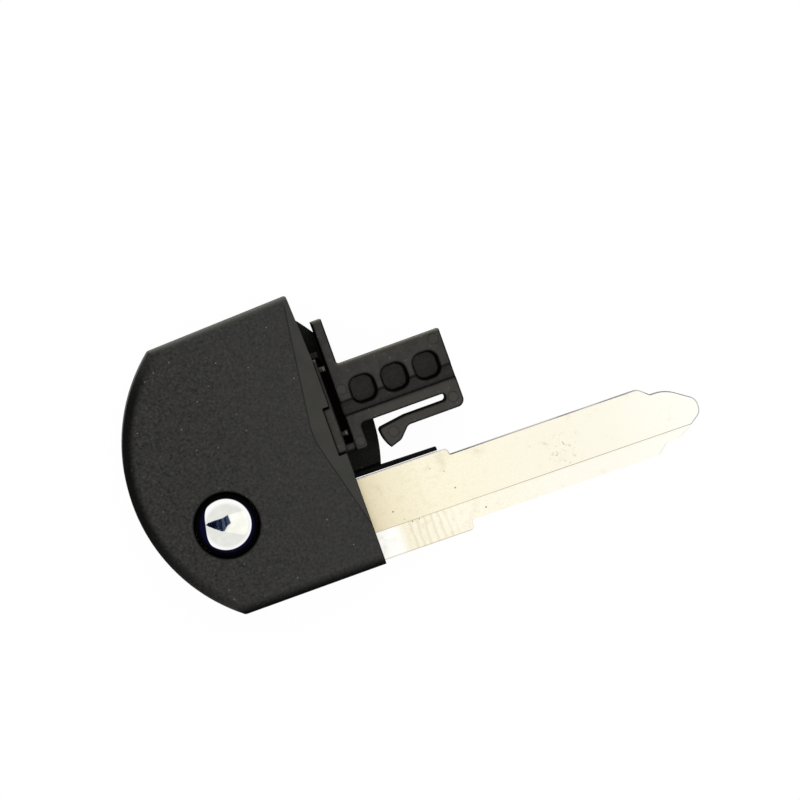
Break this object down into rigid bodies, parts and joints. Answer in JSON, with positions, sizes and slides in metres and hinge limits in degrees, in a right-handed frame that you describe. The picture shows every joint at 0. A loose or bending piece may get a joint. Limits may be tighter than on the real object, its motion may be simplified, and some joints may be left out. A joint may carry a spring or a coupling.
{
  "type": "flip key blade head",
  "caption": "Head of a flip key: two-part housing with a folding key blade, a spring-loaded release button at the pivot and a plug-in tongue with a snap arm.",
  "frame": {"origin": "the blade's pivot axis, on the rear face of the housing", "axes": "+X along the tongue and the folded blade, +Y across the head away from the folded blade, +Z along the button towards the front"},
  "size_m": [0.0662, 0.0332, 0.0139],
  "materials": {
    "grained_plastic": "fine moulded grain, satin",
    "smooth_plastic": "smooth moulded",
    "blade_steel": "nickel plated, lightly brushed",
    "cast_metal": "tumbled casting",
    "spring_steel": "drawn wire",
    "button_chrome": "bright plated",
    "chip_body": "moulded resin"
  },
  "bodies": {
    "head": {"front_shell": "grained_plastic", "rear_shell": "grained_plastic", "tongue_frame": "smooth_plastic", "flip_spring": "spring_steel", "transponder_chip": "chip_body"},
    "blade": {"key_blade": "blade_steel", "blade_hub": "cast_metal", "blade_roll_pin": "spring_steel"},
    "button": {"release_button": "button_chrome"}
  },
  "joints": [
    {"name": "blade_flip", "type": "hinge", "parent": "head", "child": "blade", "pos_m": [0, 0, 0.0065], "axis": [0, 0, -1], "range_deg": [0, 179.2]},
    {"name": "button_press", "type": "slide", "parent": "head", "child": "button", "axis": [0, 0, -1], "range_m": [0, 0.0016], "stiffness_N_per_m": 400, "springref_m": -0.002, "deforming": ["flip_spring"]}
  ]
}
